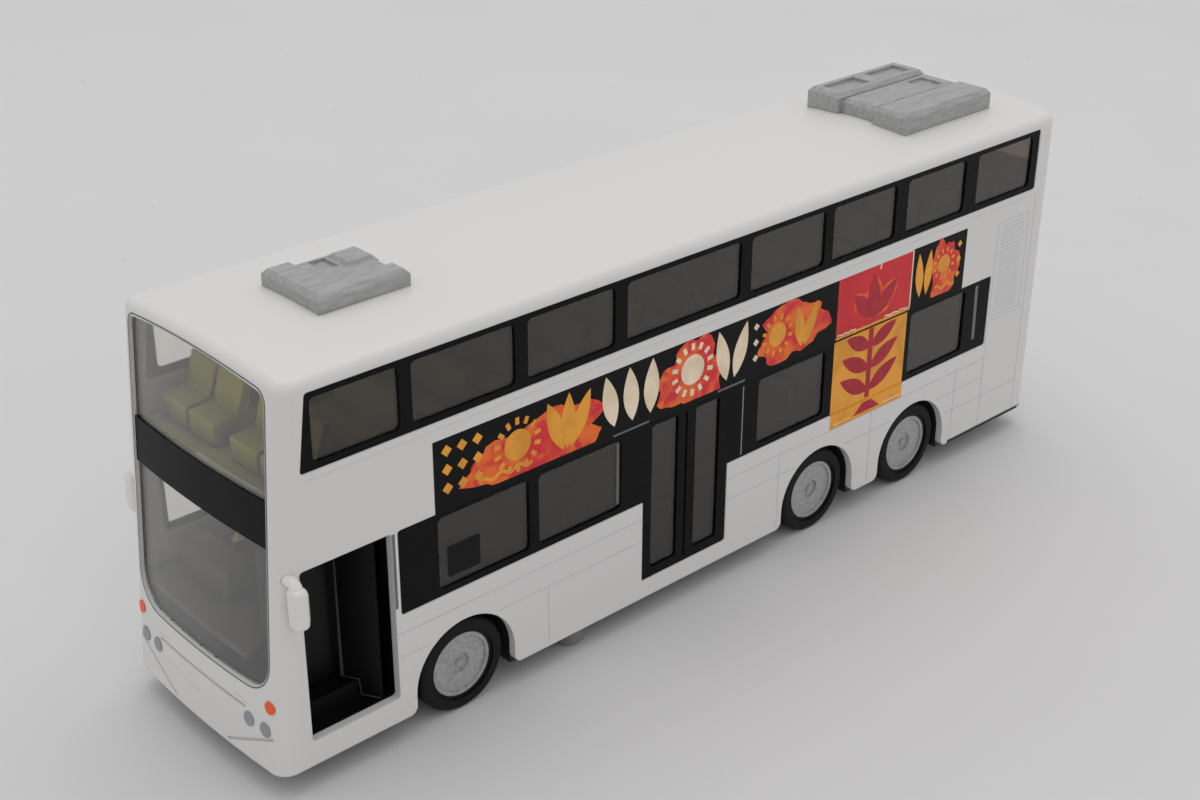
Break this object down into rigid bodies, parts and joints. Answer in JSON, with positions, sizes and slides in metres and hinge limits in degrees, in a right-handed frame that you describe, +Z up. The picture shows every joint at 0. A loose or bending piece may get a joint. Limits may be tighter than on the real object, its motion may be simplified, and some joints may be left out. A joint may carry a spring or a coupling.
{
  "type": "toy double decker bus",
  "caption": "Die-cast scale model of a three-axle double decker bus: hollow body, glazed decks with seats, roof pods, base plate and free-rolling wheels on pin axles.",
  "frame": {"origin": "on the ground under the middle of the bus's bounding box", "axes": "+X forward, +Y to the door side, +Z up"},
  "size_m": [0.157, 0.041, 0.0617],
  "materials": {
    "body_paint": "gloss white enamel on zinc",
    "body_plastic": "gloss white",
    "pod_paint": "silver paint on a rough casting",
    "smoked_glass": "clear smoke grey polystyrene",
    "frame_black": "gloss black",
    "interior_black": "satin black",
    "seat_plastic": "yellow green moulded",
    "lamp_amber": "orange paint",
    "lamp_grey": "grey paint",
    "lamp_red": "red paint",
    "axle_steel": "bright",
    "tyre_black": "satin black",
    "hub_silver": "silver grey"
  },
  "bodies": {
    "bus_body": {"body_shell": "body_paint", "roof_pod_front": "pod_paint", "roof_pod_rear": "pod_paint", "windscreen": "smoked_glass", "upper_glass_left": "smoked_glass", "upper_glass_right": "smoked_glass", "lower_glass_left": "smoked_glass", "lower_glass_right": "smoked_glass", "rear_window": "smoked_glass", "upper_frame_left": "frame_black", "upper_frame_right": "frame_black", "lower_frame_left": "frame_black", "lower_frame_right": "frame_black", "display_band": "frame_black", "door_well": "interior_black", "base_plate": "interior_black", "lower_deck": "seat_plastic", "upper_deck": "seat_plastic", "driver_console": "seat_plastic", "mirror_left": "body_plastic", "mirror_right": "body_plastic", "indicators": "lamp_amber", "headlamps": "lamp_grey", "tail_lamps": "lamp_red"},
    "wheels_front": {"axle_front": "axle_steel", "tyre_front_left": "tyre_black", "hub_front_left": "hub_silver", "tyre_front_right": "tyre_black", "hub_front_right": "hub_silver"},
    "wheels_middle": {"axle_middle": "axle_steel", "tyre_middle_left": "tyre_black", "hub_middle_left": "hub_silver", "tyre_middle_right": "tyre_black", "hub_middle_right": "hub_silver"},
    "wheels_rear": {"axle_rear": "axle_steel", "tyre_rear_left": "tyre_black", "hub_rear_left": "hub_silver", "tyre_rear_right": "tyre_black", "hub_rear_right": "hub_silver"}
  },
  "joints": [
    {"name": "axle_front_turn", "type": "hinge", "parent": "bus_body", "child": "wheels_front", "pos_m": [0.0481, 0, 0.007], "axis": [0, 1, 0], "continuous": true},
    {"name": "axle_middle_turn", "type": "hinge", "parent": "bus_body", "child": "wheels_middle", "pos_m": [-0.0227, 0, 0.007], "axis": [0, 1, 0], "continuous": true},
    {"name": "axle_rear_turn", "type": "hinge", "parent": "bus_body", "child": "wheels_rear", "pos_m": [-0.046, 0, 0.007], "axis": [0, 1, 0], "continuous": true}
  ]
}
